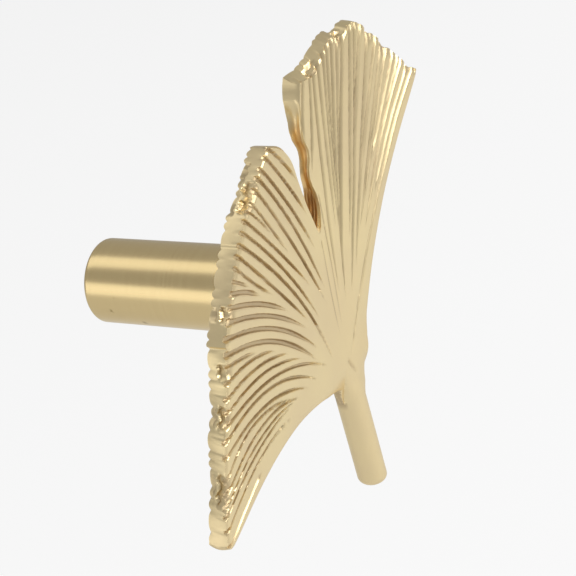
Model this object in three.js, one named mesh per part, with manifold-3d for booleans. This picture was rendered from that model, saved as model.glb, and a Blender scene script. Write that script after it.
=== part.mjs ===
// A drawer pull in the shape of a ginkgo leaf: a ridged brass casting on a turned brass post.
//
// Millimetres. The origin is the centre of the post's wall face. +Y points into the wall, +Z up and +X to
// the right of someone who faces the drawer, so the leaf's front looks along -Y.
import * as THREE from 'three';
import { mergeVertices } from 'three/addons/utils/BufferGeometryUtils.js';
import Module from 'manifold-3d';

const wasm = await Module();
wasm.setup();

// Post, turned from round bar
const POST_DIAMETER = 11;
const POST_LENGTH = 27.7;
const POST_EDGE_RADIUS = 0.6;
const POST_SIDES = 48;

// Blind hole in the post's wall face, at the core size of an M4 thread, with a countersunk mouth
const SCREW_CORE_DIAMETER = 3.3;
const SCREW_MOUTH_DIAMETER = 4.4;
const SCREW_HOLE_DEPTH = 16;
const DRILL_TIP_ANGLE = 118;

// Spigot that joins the post to the leaf, and the play round it and at its end
const SPIGOT_DIAMETER = 6;
const SPIGOT_LENGTH = 1;
const SPIGOT_CLEARANCE = 0.3;

// Pad on the back of the leaf, where the post's shoulder meets it
const PAD_RIM = 1;
const PAD_HEIGHT = 0.3;

// Leaf plate: its two lobes lean forward from the line through the notch, like an open book. It thins from
// the junction to the right lobe.
const LEAF_THICKNESS = 2.7;
const THIN_LOBE_THICKNESS = 1.95;
const THINNING_WIDTH = 6;
const LOBE_LEAN = 6;
const LEAN_ROUNDING = 4;

// Junction of the lobes with the stem, seen from the post's axis
const JUNCTION_ASIDE = 3.6;
const JUNCTION_BELOW = 11;

// Reach from the junction to each part of the outline
const LEFT_LOBE_REACH = 36;
const RIGHT_LOBE_REACH = 41;
const NOTCH_REACH = 17.2;
const FORK_REACH = 3;
const LEFT_BAND_WIDTH = 4;
const RIGHT_BAND_WIDTH = 4.8;
const BAND_TIP_WIDTH = 0.6;
const LEFT_BAND_TAPER = 0.7;
const RIGHT_BAND_TAPER = 1.3;

// Ridges of the leaf, one to each vein. Run-ins and roots are shares of a vein's length.
const RIDGE_PITCH = 1.5;
const RIDGE_HEIGHT = 0.5;
const BACK_RIDGE_HEIGHT = 0.35;
const VEIN_BEND = 0.4;
const VEIN_ROWS = 9;
const GROOVE_RUN_IN = 0.3;
const SMOOTH_ROOT = 0.22;
const BACK_RIDGES_FROM = 0.55;
const BACK_RIDGES_FULL = 0.95;
const BAND_EDGE_DROP = 0.5;
const CHIP_SHARPNESS = 6;
const CORNER_SHARPNESS = 4;

// Stem, a round rod below the junction
const STEM_DIAMETER = 4;
const STEM_LENGTH = 22;
const STEM_LEAN = 6.3;
const STEM_TOP_ASIDE = 1.9;
const STEM_RISE = 4;
const STEM_FLARE = 0.3;
const STEM_END_ROUNDING = 1.2;
const STEM_SET_BACK = 0.6;
const STEM_SINK = 0.4;
const STEM_ROOT_LENGTH = 6.5;
const STEM_SIDES = 20;
const STEM_ROOT_STEPS = 12;
const STEM_END_STEPS = 4;
const SHOULDER_BEND = 0.45;
const SHOULDER_STEPS = 3;

const brass = (color, roughness) => new THREE.MeshStandardMaterial({ color, roughness, metalness: 1 });
const castBrass = brass(0xd9c088, 0.4);
const turnedBrass = brass(0xc9a865, 0.3);

const { degToRad, lerp, smoothstep } = THREE.MathUtils;

// A point of the leaf's plane, given by its reach from the junction and its bearing off the leaf's upright
// axis, positive to the right.
function fromJunction(reach, bearing) {
  const angle = degToRad(bearing);
  return new THREE.Vector2(
    JUNCTION_ASIDE + reach * Math.sin(angle),
    -JUNCTION_BELOW + reach * Math.cos(angle),
  );
}

const outline = (reach, points) => new THREE.SplineCurve(
  points.map(([share, bearing]) => fromJunction(share * reach, bearing)),
);

// Margins of the leaf, from each lobe's outer tip to its corner at the notch. Each point is a share of the
// reach and a bearing.
const leftRim = outline(LEFT_LOBE_REACH, [
  [1, -94.6],
  [0.96, -88.3],
  [0.906, -78.7],
  [0.87, -67.9],
  [0.867, -53.9],
  [0.866, -38.7],
  [0.886, -25.8],
  [0.908, -12.5],
]);
const rightRim = outline(RIGHT_LOBE_REACH, [
  [0.962, 45.2],
  [0.956, 38.9],
  [0.978, 30.9],
  [1.011, 23.6],
  [0.983, 19.4],
  [0.971, 15.7],
  [0.932, 12.7],
  [0.902, 9.2],
  [0.88, 4.3],
]);

// The notch's side, from its bottom to the lobe's corner. bow is how far its middle stands aside of a
// straight line, as a share of its length, positive to the right.
const notchBottom = fromJunction(NOTCH_REACH, 1.7);

function notchSide(corner, bow) {
  const along = corner.clone().sub(notchBottom);
  const middle = notchBottom.clone().addScaledVector(along, 0.5);
  middle.add(new THREE.Vector2(along.y, -along.x).multiplyScalar(bow));
  return new THREE.SplineCurve([notchBottom, middle, corner]);
}

// Roots of the veins: round the junction, up the leaf's axis to the notch, and up the notch's side
const leftFork = fromJunction(FORK_REACH, -15);
const rightFork = fromJunction(FORK_REACH, 20);
const leftRoots = [
  { upTo: 0.62, curve: new THREE.LineCurve(fromJunction(1.07 * FORK_REACH, -74), leftFork) },
  { upTo: 0.92, curve: new THREE.LineCurve(leftFork, notchBottom) },
  { upTo: 1, curve: notchSide(fromJunction(0.75 * LEFT_LOBE_REACH, -4.6), -0.02) },
];
const rightRoots = [
  { upTo: 0.55, curve: new THREE.LineCurve(fromJunction(0.8 * FORK_REACH, 95), rightFork) },
  { upTo: 0.86, curve: new THREE.LineCurve(rightFork, notchBottom) },
  { upTo: 1, curve: notchSide(fromJunction(0.83 * RIGHT_LOBE_REACH, 3.4), 0.01) },
];

function rootAt(roots, q) {
  let from = 0;
  for (const { upTo, curve } of roots) {
    if (q <= upTo) return curve.getPointAt((q - from) / (upTo - from));
    from = upTo;
  }
  return roots.at(-1).curve.getPointAt(1);
}

// Ridges that the casting left short at the rim: place along the rim from the lobe's outer tip, half width
// in ridges, and depth
const leftChips = [[0.13, 1, 0.6], [0.27, 0.7, 0.6], [0.37, 0.7, 0.6], [0.5, 0.7, 0.6], [0.84, 1.2, 0.8]];
const rightChips = [[0.075, 0.8, 0.5], [0.3, 0.8, 0.6], [0.525, 0.8, 0.6], [0.825, 1.2, 0.6]];

const lobes = {
  left: {
    rim: leftRim,
    roots: leftRoots,
    chips: leftChips,
    notchFrom: 0.92,
    arch: [0.17, 0.07],
    cornerBulge: 0.3,
    side: -1,
    bandWidth: LEFT_BAND_WIDTH,
    bandTaper: LEFT_BAND_TAPER,
    crests: [0.25, 0.8],
    crestDrops: [0.3, 0],
  },
  right: {
    rim: rightRim,
    roots: rightRoots,
    chips: rightChips,
    notchFrom: 0.86,
    arch: [0.1, 0],
    cornerBulge: 0,
    side: 1,
    bandWidth: RIGHT_BAND_WIDTH,
    bandTaper: RIGHT_BAND_TAPER,
    crests: [0.3, 0.7],
    crestDrops: [0.1, 0.1],
  },
};
for (const lobe of Object.values(lobes)) lobe.ridges = Math.round(lobe.rim.getLength() / RIDGE_PITCH);

// A vein runs from its root to the rim in an arch that bulges towards the leaf's axis, and the last one, at
// the lobe's corner, bulges most. q counts the veins of a lobe from its outer edge, at 0, to the notch, at 1,
// and r runs along a vein from root to rim.
function vein(lobe, q) {
  const root = rootAt(lobe.roots, q);
  const tip = lobe.rim.getPointAt(q);
  const along = tip.clone().sub(root);
  const across = new THREE.Vector2(-along.y, along.x).multiplyScalar(lobe.side);
  const lastRidge = Math.max(0, 1 - lobe.ridges * (1 - q));
  const bulge = lobe.cornerBulge * lastRidge ** CORNER_SHARPNESS;
  const arch = lerp(...lobe.arch, smoothstep(q, 0.5, lobe.notchFrom)) + bulge;
  const bend = root.clone().addScaledVector(along, VEIN_BEND).addScaledVector(across, arch);
  return new THREE.QuadraticBezierCurve(root, bend, tip);
}

function veinPoint(lobe, q, r) {
  const line = vein(lobe, q);
  const point = line.getPoint(r);
  const chip = lobe.chips.find(([place, half]) => Math.abs(q - place) * lobe.ridges < half);
  return chip ? point.addScaledVector(line.getTangent(r), -chip[2] * r ** CHIP_SHARPNESS) : point;
}

// The smooth band that borders a lobe narrows from the junction to the lobe's tip. share runs across it, from
// the outermost groove to the edge.
function bandPoint(lobe, share, r) {
  const tangent = vein(lobe, 0).getTangent(r);
  const outwards = new THREE.Vector2(tangent.y, -tangent.x).multiplyScalar(lobe.side);
  const width = BAND_TIP_WIDTH + (lobe.bandWidth - BAND_TIP_WIDTH) * (1 - r) ** lobe.bandTaper;
  return veinPoint(lobe, 0, r).addScaledVector(outwards, share * width);
}

// Ridges begin clear of the junction, where the veins are still too close together to stand apart. At the
// notch they run out at its side.
const firstRow = (lobe, q) => SMOOTH_ROOT * (1 - smoothstep(q, 0.6, lobe.notchFrom));
const GROOVE_STARTS = [0, 0.35, 0.12, 0.5];

function grooveDepth(lobe, groove, r) {
  const q = groove / lobe.ridges;
  if (q > lobe.notchFrom) return 1;
  const start = firstRow(lobe, q) + GROOVE_STARTS[groove % GROOVE_STARTS.length];
  return smoothstep(r, start, start + GROOVE_RUN_IN);
}

// Height of the plate's two faces in front of the wall
const BACK_OF_LEAF = POST_LENGTH + PAD_HEIGHT;

function lobeRise(point) {
  const aside = point.x - JUNCTION_ASIDE;
  return Math.tan(degToRad(LOBE_LEAN)) * (Math.hypot(aside, LEAN_ROUNDING) - LEAN_ROUNDING);
}

function thicknessAt(point) {
  const thinning = smoothstep(point.x, JUNCTION_ASIDE, JUNCTION_ASIDE + THINNING_WIDTH);
  return lerp(LEAF_THICKNESS, THIN_LOBE_THICKNESS, thinning);
}

// The leaf's plate is a web of flat triangles. Each vertex is one point of the leaf's plane with a front and
// a back height, and the side walls join the two faces along every free edge.
const corners = [];
const cornerNumbers = new Map();
const triangles = [];

function corner(point, frontCut, backCut) {
  const key = `${point.x.toFixed(4)} ${point.y.toFixed(4)}`;
  if (!cornerNumbers.has(key)) {
    const front = BACK_OF_LEAF + LEAF_THICKNESS + lobeRise(point);
    corners.push({ point, front: front - frontCut, back: front - thicknessAt(point) + backCut });
    cornerNumbers.set(key, corners.length - 1);
  }
  return cornerNumbers.get(key);
}

function addTriangle(a, b, c) {
  if (a === b || b === c || c === a) return;
  const [p, q, r] = [a, b, c].map((number) => corners[number].point);
  const area = (q.x - p.x) * (r.y - p.y) - (q.y - p.y) * (r.x - p.x);
  triangles.push(area > 0 ? [a, b, c] : [a, c, b]);
}

// Each cell of a grid is halved along its shorter diagonal.
function addGrid(columns) {
  const apart = (a, b) => corners[a].point.distanceTo(corners[b].point);
  for (let i = 1; i < columns.length; i += 1) {
    for (let j = 1; j < columns[i].length; j += 1) {
      const cell = [columns[i - 1][j - 1], columns[i][j - 1], columns[i][j], columns[i - 1][j]];
      const turned = apart(cell[0], cell[2]) > apart(cell[1], cell[3]);
      const [a, b, c, d] = turned ? [...cell.slice(1), cell[0]] : cell;
      addTriangle(a, b, c);
      addTriangle(a, c, d);
    }
  }
}

function lobeColumn(lobe, q, groove, drop) {
  const column = [];
  for (let j = 0; j <= VEIN_ROWS; j += 1) {
    const r = lerp(firstRow(lobe, q), 1, j / VEIN_ROWS);
    const grooved = grooveDepth(lobe, groove, r) * (drop ?? 1);
    const back = smoothstep(r, BACK_RIDGES_FROM, BACK_RIDGES_FULL) * (drop ?? 1);
    column.push(corner(veinPoint(lobe, q, r), RIDGE_HEIGHT * grooved, BACK_RIDGE_HEIGHT * back));
  }
  return column;
}

function addLobe(lobe) {
  const columns = [];
  for (let ridge = 0; ridge < lobe.ridges; ridge += 1) {
    columns.push(lobeColumn(lobe, ridge / lobe.ridges, ridge));
    lobe.crests.forEach((place, k) => {
      const groove = ridge + Math.round(place);
      columns.push(lobeColumn(lobe, (ridge + place) / lobe.ridges, groove, lobe.crestDrops[k]));
    });
  }
  columns.push(lobeColumn(lobe, 1, lobe.ridges, 0));
  addGrid(columns);
  return columns;
}

// Across a band: place, depth of the front's cut and of the back's, as shares of the ridges' heights
const BAND_STEPS = [[0, 1, 1], [0.15, 0, 0], [0.7, 0, 0], [1, BAND_EDGE_DROP / RIDGE_HEIGHT, 1]];

function addBand(lobe) {
  const columns = BAND_STEPS.map(([share, cut, back]) => {
    const column = [];
    for (let j = 0; j <= VEIN_ROWS; j += 1) {
      const r = lerp(firstRow(lobe, 0), 1, j / VEIN_ROWS);
      const grooved = share === 0 ? grooveDepth(lobe, 0, r) : cut;
      const raised = share === 0 ? smoothstep(r, BACK_RIDGES_FROM, BACK_RIDGES_FULL) : back;
      column.push(corner(bandPoint(lobe, share, r), RIDGE_HEIGHT * grooved, BACK_RIDGE_HEIGHT * raised));
    }
    return column;
  });
  addGrid(columns);
  return columns;
}

// The smooth middle between the two lobes, from the notch down to the stem. Its two shoulders curve from the
// lobes' edges down the stem's sides and sink into them.
function shoulder(lobe) {
  const lean = Math.tan(degToRad(STEM_LEAN));
  const aside = lobe.side * (STEM_DIAMETER / 2 - STEM_SINK);
  const low = new THREE.Vector2(
    JUNCTION_ASIDE + STEM_TOP_ASIDE + STEM_ROOT_LENGTH * lean + aside,
    -JUNCTION_BELOW - STEM_ROOT_LENGTH,
  );
  const high = bandPoint(lobe, 1, 0);
  const reach = SHOULDER_BEND * high.distanceTo(low);
  const bend = high.clone().addScaledVector(vein(lobe, 0).getTangent(0), -reach);
  return new THREE.QuadraticBezierCurve(high, bend, low);
}

function addMiddle(left, right) {
  const rootRun = (lobe, columns) => columns
    .filter((_, i) => columnPlace(lobe, i) <= lobe.notchFrom)
    .map((column) => column[0])
    .reverse();
  const bandRun = (columns) => columns.slice(1).map((column) => column[0]);
  const edgeRun = (lobe) => {
    const run = [];
    for (let k = 1; k <= SHOULDER_STEPS; k += 1) {
      const point = bandPoint(lobe, 1, firstRow(lobe, 0) * (1 - k / SHOULDER_STEPS));
      run.push(corner(point, BAND_EDGE_DROP, BACK_RIDGE_HEIGHT));
    }
    for (let k = 1; k <= SHOULDER_STEPS; k += 1) {
      const share = k / SHOULDER_STEPS;
      const sunk = lerp(BAND_EDGE_DROP, LEAF_THICKNESS / 2, share);
      run.push(corner(shoulder(lobe).getPoint(share), sunk, BACK_RIDGE_HEIGHT));
    }
    return run;
  };
  const leftRun = [...rootRun(lobes.left, left.lobe), ...bandRun(left.band), ...edgeRun(lobes.left)];
  const rightRun = [...rootRun(lobes.right, right.lobe), ...bandRun(right.band), ...edgeRun(lobes.right)];
  const notch = corner(notchBottom, 0, 0);
  const loop = [notch, ...leftRun, ...rightRun.reverse()]
    .filter((a, i, all) => a !== all[(i + 1) % all.length]);
  const flat = loop.map((number) => corners[number].point);
  for (const [a, b, c] of THREE.ShapeUtils.triangulateShape(flat, [])) addTriangle(loop[a], loop[b], loop[c]);
}

function columnPlace(lobe, index) {
  const perRidge = lobe.crests.length + 1;
  const ridge = Math.floor(index / perRidge);
  const place = [0, ...lobe.crests][index % perRidge];
  return (ridge + place) / lobe.ridges;
}

// Solids for joining and cutting
function solidOf(geometry) {
  geometry.deleteAttribute('normal');
  geometry.deleteAttribute('uv');
  const merged = mergeVertices(geometry, 1e-4);
  return new wasm.Manifold(new wasm.Mesh({
    numProp: 3,
    vertProperties: new Float32Array(merged.attributes.position.array),
    triVerts: new Uint32Array(merged.index.array),
  }));
}

function geometryOf(solid) {
  const mesh = solid.getMesh();
  const geometry = new THREE.BufferGeometry();
  geometry.setAttribute('position', new THREE.BufferAttribute(new Float32Array(mesh.vertProperties), 3));
  geometry.setIndex(new THREE.BufferAttribute(new Uint32Array(mesh.triVerts), 1));
  return geometry;
}

function plateGeometry() {
  const positions = [];
  for (const { point, front } of corners) positions.push(point.x, -front, point.y);
  for (const { point, back } of corners) positions.push(point.x, -back, point.y);
  const behind = (number) => number + corners.length;
  const index = [];
  const edges = new Set();
  for (const [a, b, c] of triangles) {
    index.push(a, b, c, behind(a), behind(c), behind(b));
    for (const [from, to] of [[a, b], [b, c], [c, a]]) edges.add(`${from} ${to}`);
  }
  for (const edge of edges) {
    const [from, to] = edge.split(' ').map(Number);
    if (!edges.has(`${to} ${from}`)) index.push(to, from, behind(from), to, behind(from), behind(to));
  }
  const geometry = new THREE.BufferGeometry();
  geometry.setAttribute('position', new THREE.Float32BufferAttribute(positions, 3));
  geometry.setIndex(index);
  return geometry;
}

// A disc round the post's axis, from one height in front of the wall to another
function discOnPostAxis(diameter, near, far) {
  const disc = new THREE.CylinderGeometry(diameter / 2, diameter / 2, far - near, POST_SIDES);
  return disc.translate(0, -(near + far) / 2, 0);
}

// The stem tapers to a point inside the plate, swells below the junction and ends rounded. Its section is
// drawn upright, with the junction at height 0, then leaned.
function stemGeometry() {
  const radius = STEM_DIAMETER / 2;
  const root = new THREE.SplineCurve([
    new THREE.Vector2(0, STEM_RISE),
    new THREE.Vector2(0.5 * radius, 0.7 * STEM_RISE),
    new THREE.Vector2(0.9 * radius, 0),
    new THREE.Vector2(radius + STEM_FLARE, -0.6 * STEM_ROOT_LENGTH),
    new THREE.Vector2(radius, -1.3 * STEM_ROOT_LENGTH),
  ]);
  const end = new THREE.EllipseCurve(
    0,
    STEM_END_ROUNDING - STEM_LENGTH,
    radius,
    STEM_END_ROUNDING,
    0,
    -Math.PI / 2,
    true,
  );
  const section = [...root.getPoints(STEM_ROOT_STEPS), ...end.getPoints(STEM_END_STEPS)];
  section[0].x = 0;
  section.at(-1).x = 0;
  const rod = new THREE.LatheGeometry(section.reverse(), STEM_SIDES);
  const place = new THREE.Matrix4().makeRotationX(Math.PI / 2);
  place.premultiply(new THREE.Matrix4().makeRotationY(-degToRad(STEM_LEAN)));
  place.setPosition(
    JUNCTION_ASIDE + STEM_TOP_ASIDE,
    STEM_SET_BACK - (BACK_OF_LEAF + LEAF_THICKNESS / 2),
    -JUNCTION_BELOW,
  );
  return rod.applyMatrix4(place);
}

function leafGeometry() {
  const left = { lobe: addLobe(lobes.left), band: addBand(lobes.left) };
  const right = { lobe: addLobe(lobes.right), band: addBand(lobes.right) };
  addMiddle(left, right);
  const socketEnd = POST_LENGTH + SPIGOT_LENGTH + SPIGOT_CLEARANCE;
  const socketDiameter = SPIGOT_DIAMETER + 2 * SPIGOT_CLEARANCE;
  const pad = discOnPostAxis(POST_DIAMETER + 2 * PAD_RIM, POST_LENGTH, BACK_OF_LEAF + LEAF_THICKNESS / 2);
  const socket = discOnPostAxis(socketDiameter, POST_LENGTH - SPIGOT_LENGTH, socketEnd);
  return geometryOf(
    solidOf(plateGeometry())
      .add(solidOf(stemGeometry()))
      .add(solidOf(pad))
      .subtract(solidOf(socket)),
  );
}

// The post's section, turned round its axis. Heights run from the wall face towards the leaf.
function postGeometry() {
  const core = SCREW_CORE_DIAMETER / 2;
  const mouth = SCREW_MOUTH_DIAMETER / 2;
  const radius = POST_DIAMETER / 2;
  const drillTip = core / Math.tan(degToRad(DRILL_TIP_ANGLE / 2));
  const section = new THREE.Path();
  section.moveTo(0, SCREW_HOLE_DEPTH + drillTip);
  section.lineTo(core, SCREW_HOLE_DEPTH);
  section.lineTo(core, mouth - core);
  section.lineTo(mouth, 0);
  section.lineTo(radius - POST_EDGE_RADIUS, 0);
  section.absarc(radius - POST_EDGE_RADIUS, POST_EDGE_RADIUS, POST_EDGE_RADIUS, -Math.PI / 2, 0);
  section.lineTo(radius, POST_LENGTH);
  section.lineTo(SPIGOT_DIAMETER / 2, POST_LENGTH);
  section.lineTo(SPIGOT_DIAMETER / 2, POST_LENGTH + SPIGOT_LENGTH);
  section.lineTo(0, POST_LENGTH + SPIGOT_LENGTH);
  const bar = new THREE.LatheGeometry(section.getPoints(3), POST_SIDES);
  return bar.rotateX(Math.PI);
}

function named(name, geometry, material) {
  const mesh = new THREE.Mesh(geometry, material);
  mesh.name = name;
  return mesh;
}

const pull = new THREE.Group();
pull.add(named('leaf', leafGeometry(), castBrass));
pull.add(named('post', postGeometry(), turnedBrass));

export default pull;
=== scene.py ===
import math

import bmesh
import bpy
import numpy as np
from mathutils import Matrix, Vector
from mathutils.geometry import delaunay_2d_cdt


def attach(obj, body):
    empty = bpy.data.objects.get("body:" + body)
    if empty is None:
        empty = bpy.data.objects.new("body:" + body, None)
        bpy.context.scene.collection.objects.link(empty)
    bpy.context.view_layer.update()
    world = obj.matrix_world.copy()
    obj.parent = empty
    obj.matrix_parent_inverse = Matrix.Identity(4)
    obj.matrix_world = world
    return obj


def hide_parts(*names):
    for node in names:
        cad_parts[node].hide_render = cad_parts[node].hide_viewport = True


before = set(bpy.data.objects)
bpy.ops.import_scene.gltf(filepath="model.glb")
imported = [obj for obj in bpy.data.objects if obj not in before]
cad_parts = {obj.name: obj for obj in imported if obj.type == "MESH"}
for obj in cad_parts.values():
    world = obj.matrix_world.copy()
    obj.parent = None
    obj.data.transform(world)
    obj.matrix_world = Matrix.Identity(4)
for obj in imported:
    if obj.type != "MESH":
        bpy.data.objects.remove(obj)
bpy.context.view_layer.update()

# --------------------
# Sizes in millimetres and degrees, the same as the solids'. x runs right and z up across the leaf, w is the
# height in front of the wall.
POST_RADIUS = 5.5
POST_LENGTH = 27.7
POST_ROUNDING = 0.6
SEAT_CHAMFER = 0.15
HOLE_RADIUS = 1.65
HOLE_DEPTH = 16.0
DRILL_TIP = 1.0
COUNTERSINK_RADIUS = 2.2
COUNTERSINK_DEPTH = 0.55
PAD_HEIGHT = 0.3
PAD_MARGIN = 1.0
BACK_OF_LEAF = POST_LENGTH + PAD_HEIGHT
LEFT_THICKNESS = 2.7
RIGHT_THICKNESS = 1.95
LOBE_LEAN = 6.0
LEAN_ROUNDING = 4.0
JUNCTION = np.array([3.6, -11.0])
NOTCH_REACH = 17.2
STEM_RADIUS = 2.0
STEM_LENGTH = 22.0
STEM_LEAN = math.tan(math.radians(6.3))
STEM_ASIDE = 2.2
STEM_SET_BACK = 0.4
STEM_CENTRE = BACK_OF_LEAF + LEFT_THICKNESS / 2 - STEM_SET_BACK
STEM_END = JUNCTION[1] - STEM_LENGTH
STEM_END_ROUNDING = 1.2
# How edges are rounded, how far the rim's edge and the right band's drop, and how uneven the casting is
EDGE_RADIUS = 0.45
NOTCH_EDGE_RADIUS = 0.3
LAST_VEIN_RADIUS = 0.4
RIM_BREAK = 0.2
BAND_DROP = 0.4
UNEVENNESS = 0.035
# Edges sharper than this stay sharp, and vertices nearer than these, in metres, are joined
SHARP_ANGLE = 38.0
LEAF_WELD = 2e-6
POST_WELD = 1e-6
MM = 1000.0


def smooth(x, a, b):
    """0 up to a, 1 from b on, and an even rise between."""
    t = np.clip((np.asarray(x, float) - a) / (b - a), 0.0, 1.0)
    return t * t * (3.0 - 2.0 * t)


def polar(reach, bearing):
    """The point at a reach and a bearing from the junction."""
    a = math.radians(bearing)
    return JUNCTION + reach * np.array([math.sin(a), math.cos(a)])


def wobble(p, scale, seed=0.0):
    """Smooth noise between about -1 and 1 for points of the leaf's plane, from a few crossed waves."""
    x, z = p[..., 0] / scale, p[..., 1] / scale
    total = np.zeros(np.shape(x))
    for i in range(5):
        a = 2.399 * i + seed
        f = 1.0 + 0.63 * i
        total += np.sin(f * (x * math.cos(a) + z * math.sin(a)) + 1.7 * i + seed * 3.1) / (1.0 + 0.35 * i)
    return total / 2.6


LINE_STEPS = 900


class Line:
    """A curve through a few points of the leaf's plane, read by its share of length."""

    def __init__(self, points, straight=False):
        points = np.array(points, float)
        last = len(points) - 1
        if straight:
            dense = points
        else:
            dense = []
            for t in np.linspace(0, last, LINE_STEPS):
                i = min(int(t), last - 1)
                u = t - i
                a, b, c, d = points[max(i - 1, 0)], points[i], points[i + 1], points[min(i + 2, last)]
                e, f = (c - a) / 2, (d - b) / 2
                dense.append((2 * b - 2 * c + e + f) * u**3 + (3 * c - 3 * b - 2 * e - f) * u**2 + e * u + b)
            dense = np.array(dense)
        run = np.concatenate([[0], np.cumsum(np.hypot(*np.diff(dense, axis=0).T))])
        self.run, self.points = run / run[-1], dense

    def at(self, share):
        return np.stack([np.interp(share, self.run, self.points[:, k]) for k in (0, 1)], -1)


notch_bottom = polar(NOTCH_REACH, 1.7)


class Lobe:
    """One half of the fan. Its veins run from the roots to the rim, and q is a vein's place from the outer
    edge, 0, to the notch, 1. side is -1 for left and 1 for right. roots are the lines the veins start from,
    each with the q it ends at, and from notch_from on they start on the notch's side. arch holds how much the
    outer and the inner veins bend, and corner how much more the last ones do. band holds the smooth border's
    width at its root and tip and how it tapers. columns counts the mesh's for each ridge, and rows along a
    vein."""

    def __init__(self, side, ridges, rim, roots, notch_from, arch, corner, band, columns, rows):
        self.side, self.ridges, self.rim, self.roots = side, ridges, Line(rim), roots
        self.notch_from, self.arch, self.corner, self.band = notch_from, arch, corner, band
        self.columns, self.rows = columns, rows

    def root(self, q):
        out = np.zeros(q.shape + (2,))
        start = 0.0
        for end, line in self.roots:
            here = (q >= start) if end == 1 else (q >= start) & (q < end)
            out[here] = line.at((q[here] - start) / (end - start))
            start = end
        return out

    def vein(self, q, r):
        """The point of vein q at share r of its length from the root, and the vein's direction there. q and r
        are arrays of one shape."""
        root, tip = self.root(q), self.rim.at(q)
        along = tip - root
        across = np.stack([-along[..., 1], along[..., 0]], -1) * self.side
        arch = self.arch[0] + (self.arch[1] - self.arch[0]) * smooth(q, 0.5, self.notch_from)
        arch = arch + self.corner * np.maximum(0, 1 - self.ridges * (1 - q)) ** 4
        bend = root + 0.4 * along + arch[..., None] * across
        r = r[..., None]
        point = (1 - r) ** 2 * root + 2 * r * (1 - r) * bend + r**2 * tip
        t = 2 * (1 - r) * (bend - root) + 2 * r * (tip - bend)
        return point, t / np.maximum(np.linalg.norm(t, axis=-1, keepdims=True), 1e-9)

    def first_row(self, q):
        return 0.22 * (1 - smooth(q, 0.6, self.notch_from))


def margin(reach, points):
    return [polar(reach * share, bearing) for share, bearing in points]


def notch_side(corner, bow):
    """The line from the notch's bottom to a lobe's inner corner, bowed by a share of its length."""
    along = corner - notch_bottom
    return Line([notch_bottom, notch_bottom + 0.5 * along + bow * np.array([along[1], -along[0]]), corner])


left_fork, right_fork = polar(3, -15), polar(3, 20)
left_notch = notch_side(polar(27, -4.6), -0.02)
right_notch = notch_side(polar(34.03, 3.4), 0.01)
LEFT_REACH, RIGHT_REACH = 36, 41
# Margins, as share of the reach and bearing
LEFT_MARGIN = [(1, -94.6), (0.96, -88.3), (0.906, -78.7), (0.87, -67.9), (0.867, -53.9), (0.866, -38.7),
               (0.886, -25.8), (0.908, -12.5)]
RIGHT_MARGIN = [(0.962, 45.2), (0.956, 38.9), (0.978, 30.9), (1.011, 23.6), (0.983, 19.4), (0.971, 15.7),
                (0.932, 12.7), (0.902, 9.2), (0.88, 4.3)]


def root_lines(outer, fork, side, fork_at, notch_at):
    """The lines that a lobe's veins start from: to the fork, up the middle, and along the notch."""
    return [(fork_at, Line([outer, fork], True)), (notch_at, Line([fork, notch_bottom], True)), (1, side)]


left = Lobe(
    side=-1, ridges=31, rim=margin(LEFT_REACH, LEFT_MARGIN),
    roots=root_lines(polar(3.21, -74), left_fork, left_notch, 0.62, 0.92),
    notch_from=0.92, arch=(0.17, 0.07), corner=0.3, band=(4.4, 1.0, 0.7), columns=14, rows=80,
)
right = Lobe(
    side=1, ridges=20, rim=margin(RIGHT_REACH, RIGHT_MARGIN),
    roots=root_lines(polar(2.4, 95), right_fork, right_notch, 0.55, 0.86),
    notch_from=0.86, arch=(0.1, 0.0), corner=0.0, band=(4.4, 0.6, 1.0), columns=11, rows=60,
)

# --------------------
# Grooves, each a bent line across the leaf: x and z of its inner end, bend and rim end, half width and depth.
# They run on past the rim.
PAST_RIM = 1.08
GROOVE_POINTS = 50
# The left lobe's channels: share of their depth, and how far their lower edge is bevelled and how wide
CHANNEL_DEPTH = 0.8
BEVEL_DROP, BEVEL_WIDTH = 0.035, 0.2
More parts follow.
